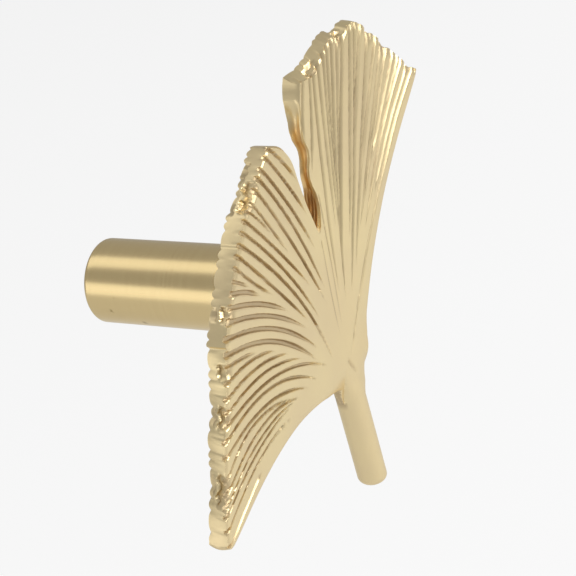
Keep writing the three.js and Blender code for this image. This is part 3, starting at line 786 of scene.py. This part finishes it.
def middle_heights(p):
    """Front and back heights of the middle, and the shade painted on it."""
    s = smooth(-p[:, 1], *TONGUE_BLEND)
    gap_left = nearest(p, edge_left)[0]
    gap_right = nearest(p, edge_right)[0]
    drop = edge_round(gap_right, EDGE_RADIUS + 0.3 * s)
    drop = np.maximum(drop, edge_round(gap_left, EDGE_RADIUS - 0.2 * s))
    spread = 1 + TONGUE_SPREAD - TONGUE_SPREAD * smooth(s, 0.7, 1.0)
    rod = rod_front(p, np.where(p[:, 0] > rod_axis(p[:, 1]), spread, 1.0))
    cut, painted_shade = groove_cut(p)
    fade = 1 - smooth(-p[:, 1], 11.0, 13.0)
    gap, place, _ = nearest(p, CREASE)
    dent = CREASE_DEPTH * (1 - smooth(gap, 0.0, CREASE_HALF))
    dent = dent * smooth(place, 0, 3) * (1 - smooth(place, 6, 11))
    border = band_width(right, made[right]["r"][0, 0])
    slope = BAND_DROP * (1 - np.clip(gap_right / border, 0, 1)) * (1 - smooth(-p[:, 1], 8.5, 12.5))
    front = (front_height(p) - drop - slope) * (1 - s) + rod * s - cut * fade - dent
    over = (gap_left > 0.3) & (s < 0.9)
    front = np.where(over, np.maximum(front, rod + TONGUE_LIFT), front) - TONGUE_SINK * smooth(s, 0.93, 1.0)
    back = (back_height(p) + drop) * (1 - s) + (STEM_CENTRE - 0.4) * s
    # shade painted in the grooves and in the crease
    painted_dark = np.maximum(painted_shade * fade, CREASE_SHADE * dent / CREASE_DEPTH)
    return np.maximum(front, back + 0.02), back, painted_dark


def inside(p, loop):
    """Which points lie within a closed loop."""
    x, z = p[:, 0], p[:, 1]
    within = np.zeros(len(p), bool)
    for s, e in zip(loop, np.roll(loop, -1, 0)):
        within ^= ((s[1] > z) != (e[1] > z)) & (x < (e[0] - s[0]) * (z - s[1]) / (e[1] - s[1] + 1e-15) + s[0])
    return within


def build_middle():
    """Triangles between the lobes' roots, the bands and the free edges, and the free edges' walls."""
    def roots(lobe):
        n = made[lobe]["split"] + 1
        return [made[lobe][key][:n, 0][::-1] for key in ("p", "wf", "wb")]

    def band_row(lobe):
        return [bands[lobe][key][1:, 0] for key in ("p", "w", "wb")]

    def edge_row(line):
        f, b, _ = middle_heights(line)
        return [line, f, b]

    foot_x = np.linspace(edge_left[-1, 0], edge_right[-1, 0], FOOT_POINTS + 2)[1:-1]
    foot = np.stack([foot_x, np.full(FOOT_POINTS, TONGUE_END)], -1)
    parts = [roots(left), band_row(left), edge_row(edge_left), edge_row(foot)]
    parts += [[v[::-1] for v in part] for part in (edge_row(edge_right), band_row(right), roots(right))]
    loop, known_front, known_back = (np.concatenate([part[k] for part in parts]) for k in range(3))
    keep = [0]
    for i in range(1, len(loop)):
        if all(np.hypot(*(loop[i] - loop[k])) > SAME_POINT for k in (keep[-1], 0)):
            keep.append(i)
    loop, known_front, known_back = loop[keep], known_front[keep], known_back[keep]
    low, high = loop.min(0), loop.max(0)
    xs, zs = np.meshgrid(np.arange(low[0], high[0], PITCH), np.arange(low[1], high[1], PITCH * 0.866))
    xs = xs + (np.arange(xs.shape[0]) % 2)[:, None] * PITCH / 2
    inner = np.stack([xs.ravel(), zs.ravel()], -1)
    # rows of points that follow the free edges
    for line in (edge_left, edge_right):
        normal = outward(line, 1)
        for off in EDGE_ROWS:
            inner = np.concatenate([inner, line - off * normal, line + off * normal])
    inner = inner[inside(inner, loop)]
    inner = inner[nearest(inner, np.concatenate([loop, loop[:1]]))[0] > BORDER_ROOM]
    n = len(loop)
    edges = [(i, (i + 1) % n) for i in range(n)]
    out = delaunay_2d_cdt([Vector(v) for v in np.concatenate([loop, inner])], edges, [], 1, SAME_POINT, True)
    verts = np.array([tuple(v) for v in out[0]])
    f, b, painted_shade = middle_heights(verts)
    for i, ids in enumerate(out[3]):
        known = [k for k in ids if k < n]
        if known:
            f[i], b[i] = known_front[known[0]], known_back[known[0]]
    front, back = leaf.add(verts, f, painted_shade), leaf.add(verts, b)
    tris = np.array([t for t in out[2] if len(t) == 3])
    tris = tris[inside(verts[tris].mean(1), loop)]
    a, b = verts[tris[:, 1]] - verts[tris[:, 0]], verts[tris[:, 2]] - verts[tris[:, 0]]
    area = a[:, 0] * b[:, 1] - a[:, 1] * b[:, 0]
    tris[area < 0] = tris[area < 0][:, ::-1]
    leaf.faces += [tuple(t) for t in front[tris].tolist()]
    leaf.faces += [tuple(t[::-1]) for t in back[tris].tolist()]
    rows = np.linspace(0, 1, 5)
    for line, out_x in ((edge_left, -1), (edge_right, 1), (foot, 0)):
        ends = np.concatenate([edge_left[-1:], line, edge_right[-1:]]) if out_x == 0 else line
        f, b, _ = middle_heights(ends)
        normal = np.tile([0.0, -1.0], (len(ends), 1)) if out_x == 0 else outward(line, -out_x)
        # the arch's wall over the rod has a shadow painted on it below
        z = ends[:, 1:]
        painted_dark = ARCH_SHADE * smooth(z, -20.3, -19.6) * (1 - smooth(z, -16.5, -15.0)) if out_x < 0 else 0.0
        wall(between(ends, ends, rows), between(f, b, rows), painted_dark, normal)


def build_rod():
    """The stem's rod, with its rounded end."""
    last = STEM_END + STEM_END_ROUNDING
    heights = [*np.arange(ROD_SIDES[0][0], last, -ROD_PITCH), last]
    rings = [(z, rod_size(z, ROD_SIDES), rod_size(z, ROD_DEPTHS)) for z in heights]
    for a in np.linspace(0, math.pi / 2, 12)[1:]:
        size = STEM_RADIUS * max(math.cos(a), 0.0) ** 0.7
        rings.append((last - STEM_END_ROUNDING * math.sin(a), size, size))
    around = np.linspace(-math.pi, math.pi, 65)
    p = np.array([[(rod_axis(z) + half * math.cos(a), z) for z, half, _ in rings] for a in around])
    w = np.array([[rod_centre(z) + deep * math.sin(a) for z, _, deep in rings] for a in around])
    # a shadow is painted on it where it comes out from under the arch, on its left
    aside = (p[..., 0] - rod_axis(p[..., 1])) / STEM_RADIUS
    arch_shadow = smooth(p[..., 1], -19.3, -19.0) * (1 - smooth(p[..., 1], -16.0, -15.2)) * smooth(-aside, 0.3, 0.5)
    arch_shadow = ARCH_SHADE * arch_shadow * smooth(w, STEM_CENTRE - 1.9, STEM_CENTRE - 1.4)
    arch_shadow = arch_shadow * (1 - smooth(w, STEM_CENTRE + 0.2, STEM_CENTRE + 0.6))
    facing = np.stack([np.cos(around), -np.sin(around), np.zeros(len(around))], -1)
    leaf.grid(leaf.add(p, w, arch_shadow), facing)


build_middle()
build_rod()

# Pad on the back, as radius and height. It starts under the post and ends within the leaf.
PAD_SIDES = 96
turn = np.linspace(0, 2 * math.pi, PAD_SIDES + 1)
pad_radius = POST_RADIUS + PAD_MARGIN
pad = [(POST_RADIUS - 0.2, POST_LENGTH), (pad_radius - 0.15, POST_LENGTH), (pad_radius, POST_LENGTH + 0.12)]
pad += [(pad_radius, BACK_OF_LEAF + 1.0)]
pad_p = np.array([[(a * math.cos(t), a * math.sin(t)) for a, _ in pad] for t in turn])
pad_w = np.array([[w for _, w in pad] for _ in turn])
leaf.grid(leaf.add(pad_p, pad_w), np.stack([np.cos(turn), 0 * turn, np.sin(turn)], -1))

leaf_obj = leaf.build("leaf_casting")

# --------------------
# Post: a turned bar with a countersunk blind hole
def ring_mesh(name, section, sides):
    """A turned form. section holds radii and distances from the wall, in millimetres."""
    mesh = bpy.data.meshes.new(name)
    points, faces = [], []
    for radius, y in section:
        for i in range(sides):
            a = 2 * math.pi * i / sides
            points.append((radius * math.cos(a) / MM, y / MM, radius * math.sin(a) / MM))
    for j in range(len(section) - 1):
        for i in range(sides):
            a, b = j * sides + i, j * sides + (i + 1) % sides
            faces.append((a, a + sides, b + sides, b))
    mesh.from_pydata(points, [], faces)
    return finish_mesh(name, mesh, POST_WELD, recalculate=True)


POST_SIDES = 160
flat = POST_RADIUS - POST_ROUNDING
section = [(0.0, -HOLE_DEPTH - DRILL_TIP), (HOLE_RADIUS, -HOLE_DEPTH), (HOLE_RADIUS, -COUNTERSINK_DEPTH)]
section += [(COUNTERSINK_RADIUS, 0.0), (flat, 0.0)]
for a in np.linspace(0, math.pi / 2, 9)[1:]:
    section.append((flat + POST_ROUNDING * math.sin(a), -POST_ROUNDING + POST_ROUNDING * math.cos(a)))
section += [(POST_RADIUS, -y) for y in np.linspace(1.5, POST_LENGTH - 0.4, 14)]
section += [(POST_RADIUS, SEAT_CHAMFER - POST_LENGTH), (POST_RADIUS - SEAT_CHAMFER, -POST_LENGTH)]
section += [(0.0, -POST_LENGTH)]
post_obj = ring_mesh("post_bar", section, POST_SIDES)


# --------------------
# Materials
class Nodes:
    """A material and the nodes put in it."""

    def __init__(self, name):
        self.material = bpy.data.materials.new(name)
        self.material.use_nodes = True
        self.tree = self.material.node_tree
        self.shader = self.tree.nodes["Principled BSDF"]

    def new(self, kind, **values):
        node = self.tree.nodes.new(kind)
        for key, value in values.items():
            if hasattr(node, key):
                setattr(node, key, value)
            else:
                node.inputs[key.replace("_", " ")].default_value = value
        return node

    def join(self, a, b):
        self.tree.links.new(a, b)

    def math(self, operation, a, b=None, c=None, clamp=False):
        node = self.tree.nodes.new("ShaderNodeMath")
        node.operation = operation
        node.use_clamp = clamp
        for socket, value in zip(node.inputs, (a, b, c)):
            if value is None:
                continue
            if hasattr(value, "links"):
                self.join(value, socket)
            else:
                socket.default_value = value
        return node.outputs[0]

    def ramp(self, value, stops):
        node = self.tree.nodes.new("ShaderNodeValToRGB")
        elements = node.color_ramp.elements
        while len(elements) < len(stops):
            elements.new(0.5)
        for element, (place, colour) in zip(elements, stops):
            element.position = place
            element.color = (*colour, 1.0)
        self.join(value, node.inputs[0])
        return node.outputs[0]

    def mix(self, factor, a, b, blend="MIX"):
        node = self.tree.nodes.new("ShaderNodeMix")
        node.data_type = "RGBA"
        node.blend_type = blend
        for socket, value in ((node.inputs[0], factor), (node.inputs[6], a), (node.inputs[7], b)):
            if hasattr(value, "links"):
                self.join(value, socket)
            elif isinstance(value, tuple):
                socket.default_value = (*value, 1.0)
            else:
                socket.default_value = value
        return node.outputs[2]


def srgb(*colour):
    """A colour's red, green and blue, of 255, as linear shares."""
    shares = [c / 255 for c in colour]
    return tuple(c / 12.92 if c <= 0.04045 else ((c + 0.055) / 1.055) ** 2.4 for c in shares)


CAST_DULL, CAST_PALE = srgb(239, 218, 173), srgb(245, 225, 176)
# The colour of brass painted on the notch's side as its warm reflection, and the colour that painted shade
# darkens towards
REFLECTED_BRASS, PAINTED_SHADE_COLOUR = srgb(226, 172, 92), srgb(158, 133, 106)
TURNED_DULL, TURNED_PALE = srgb(230, 205, 152), srgb(236, 213, 160)
SPECK = (0.6, 0.55, 0.47)
WHITE = (1.0, 1.0, 1.0)


def cast_material():
    m = Nodes("cast_brass_satin")
    coords = m.new("ShaderNodeTexCoord").outputs["Object"]
    painted_shade = m.new("ShaderNodeAttribute", attribute_name="painted_shade").outputs["Fac"]
    painted_reflection = m.new("ShaderNodeAttribute", attribute_name="painted_reflection").outputs["Fac"]
    broad = m.new("ShaderNodeTexNoise", Scale=90.0, Detail=3.0)
    fine = m.new("ShaderNodeTexNoise", Scale=2600.0, Detail=4.0)
    for node in (broad, fine):
        m.join(coords, node.inputs["Vector"])
    body = m.ramp(broad.outputs["Fac"], [(0.35, CAST_DULL), (0.65, CAST_PALE)])
    # the deeper colour of bare brass, painted on the notch's side as its warm reflection
    body = m.mix(m.math("MULTIPLY", painted_reflection, 0.8, clamp=True), body, REFLECTED_BRASS)
    # painted shade in grooves, cracks, chips and under the arch
    painted_dark = m.mix(m.math("MULTIPLY", painted_shade, 0.7, clamp=True), body, PAINTED_SHADE_COLOUR)
    m.join(painted_dark, m.shader.inputs["Base Color"])
    m.shader.inputs["Metallic"].default_value = 1.0
    rough = m.math("MULTIPLY_ADD", fine.outputs["Fac"], 0.1, 0.32)
    rough = m.math("MULTIPLY_ADD", painted_shade, 0.15, rough)
    m.join(rough, m.shader.inputs["Roughness"])
    bump = m.new("ShaderNodeBump", Strength=0.1, Distance=0.00004)
    m.join(fine.outputs["Fac"], bump.inputs["Height"])
    m.join(bump.outputs["Normal"], m.shader.inputs["Normal"])
    return m.material


def turned_material():
    m = Nodes("turned_brass_brushed")
    coords = m.new("ShaderNodeTexCoord").outputs["Object"]
    stretch = m.new("ShaderNodeMapping")
    stretch.inputs["Scale"].default_value = (40.0, 7000.0, 40.0)
    m.join(coords, stretch.inputs["Vector"])
    rings = m.new("ShaderNodeTexNoise", Scale=1.0, Detail=3.0)
    m.join(stretch.outputs["Vector"], rings.inputs["Vector"])
    spots = m.new("ShaderNodeTexNoise", Scale=700.0, Detail=2.0)
    m.join(coords, spots.inputs["Vector"])
    body = m.ramp(rings.outputs["Fac"], [(0.3, TURNED_DULL), (0.7, TURNED_PALE)])
    speck = m.ramp(spots.outputs["Fac"], [(0.2, SPECK), (0.27, WHITE)])
    m.join(m.mix(1.0, body, speck, "MULTIPLY"), m.shader.inputs["Base Color"])
    m.shader.inputs["Metallic"].default_value = 1.0
    m.join(m.math("MULTIPLY_ADD", rings.outputs["Fac"], 0.08, 0.2), m.shader.inputs["Roughness"])
    bump = m.new("ShaderNodeBump", Strength=0.05, Distance=0.00002)
    m.join(rings.outputs["Fac"], bump.inputs["Height"])
    m.join(bump.outputs["Normal"], m.shader.inputs["Normal"])
    return m.material


leaf_obj.data.materials.append(cast_material())
post_obj.data.materials.append(turned_material())
for obj, node, slot in ((leaf_obj, "leaf", "cast_brass"), (post_obj, "post", "turned_brass")):
    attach(obj, "root")
    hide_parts(node)

# --------------------
# Camera, from the photograph's perspective. The rows are the part's axes in the camera's frame (right, down,
# forward), and the origin of the part in it, in millimetres.
LEAF_TURN = math.radians(28)
PHOTO_PIXELS = 576
FOCAL_PIXELS = 1639
SENSOR_WIDTH = 36
# The picture's level and upright lines in the leaf's plane, and the post's axis
level = np.array([0.496, 0.0, 0.868])
upright = np.array([0.0515, -0.998, -0.0295])
axis_post = np.array([-0.86617, -0.05931, 0.49622])
x_axis = math.cos(LEAF_TURN) * level + math.sin(LEAF_TURN) * upright
z_axis = math.cos(LEAF_TURN) * upright - math.sin(LEAF_TURN) * level
# the nearest set of square axes
one, _, other = np.linalg.svd(np.stack([x_axis, axis_post, z_axis]))
axes = one @ other
origin = np.array([-23.54, -1.07, 214.05])
place = -axes @ origin / MM
right_v, up_v, back_v = (axes @ np.array(v) for v in ((1, 0, 0), (0, -1, 0), (0, 0, -1)))
camera_data = bpy.data.cameras.new("camera")
camera_data.lens = FOCAL_PIXELS / PHOTO_PIXELS * SENSOR_WIDTH
camera_data.sensor_width = SENSOR_WIDTH
camera_data.clip_start, camera_data.clip_end = 0.01, 20
camera = into_scene("camera", camera_data)
rows = [[*row, p] for row, p in zip(np.stack([right_v, up_v, back_v], -1), place)]
camera.matrix_world = Matrix(rows + [[0, 0, 0, 1]])
bpy.context.scene.camera = camera


# --------------------
# Floor, world and lamps, in metres. The camera sees the floor and the world brighter than they light.
FLOOR_HALF, FLOOR_HEIGHT = 3.0, -0.11
FLOOR_GLOW = 0.8
WORLD_LIGHT, WORLD_SEEN = 0.4, 1.0
LAMP_TARGET = (0.0, -0.02, 0.0)
# Each lamp's place, width and height, and brightness
LAMPS = {
    "key": ((0.12, -0.46, 0.34), (0.36, 0.36), 4.75),
    "overhead": ((-0.08, 0.3, 0.52), (0.27, 0.5), 0.75),
    "left_strip": ((-0.52, 0.28, 0.03), (0.5, 0.26), 0.85),
    "right_card": ((0.55, -0.08, 0.02), (0.35, 0.25), 0.6),
}


def floor():
    mesh = bpy.data.meshes.new("floor")
    s, z = FLOOR_HALF, FLOOR_HEIGHT
    mesh.from_pydata([(-s, -s, z), (s, -s, z), (s, s, z), (-s, s, z)], [], [(0, 1, 2, 3)])
    obj = into_scene("floor", mesh)
    m = Nodes("floor_white")
    m.shader.inputs["Base Color"].default_value = (0.93, 0.93, 0.93, 1)
    m.shader.inputs["Roughness"].default_value = 0.9
    m.shader.inputs["Specular IOR Level"].default_value = 0.1
    path = m.new("ShaderNodeLightPath")
    glow = m.new("ShaderNodeEmission", Strength=1.0)
    mixer = m.new("ShaderNodeMixShader")
    m.join(m.math("MULTIPLY", path.outputs["Is Camera Ray"], FLOOR_GLOW), mixer.inputs[0])
    m.join(m.shader.outputs[0], mixer.inputs[1])
    m.join(glow.outputs[0], mixer.inputs[2])
    m.join(mixer.outputs[0], m.tree.nodes["Material Output"].inputs["Surface"])
    mesh.materials.append(m.material)


floor()
world = bpy.data.worlds.new("studio")
bpy.context.scene.world = world
world.use_nodes = True
sky = world.node_tree
sky.nodes["Background"].inputs[0].default_value = (1, 1, 1, 1)
seen = sky.nodes.new("ShaderNodeLightPath")
strength = sky.nodes.new("ShaderNodeMapRange")
strength.inputs["To Min"].default_value = WORLD_LIGHT
strength.inputs["To Max"].default_value = WORLD_SEEN
sky.links.new(seen.outputs["Is Camera Ray"], strength.inputs["Value"])
sky.links.new(strength.outputs["Result"], sky.nodes["Background"].inputs[1])


def lamp(name, where, size, brightness):
    data = bpy.data.lights.new(name, "AREA")
    data.shape = "RECTANGLE"
    data.size, data.size_y = size
    data.energy = brightness * math.pi * size[0] * size[1]
    obj = into_scene(name, data)
    obj.location = where
    obj.rotation_euler = (Vector(LAMP_TARGET) - Vector(where)).to_track_quat("-Z", "Y").to_euler()


for name, (where, size, brightness) in LAMPS.items():
    lamp(name, where, size, brightness)

bpy.context.scene.view_settings.view_transform = "Standard"
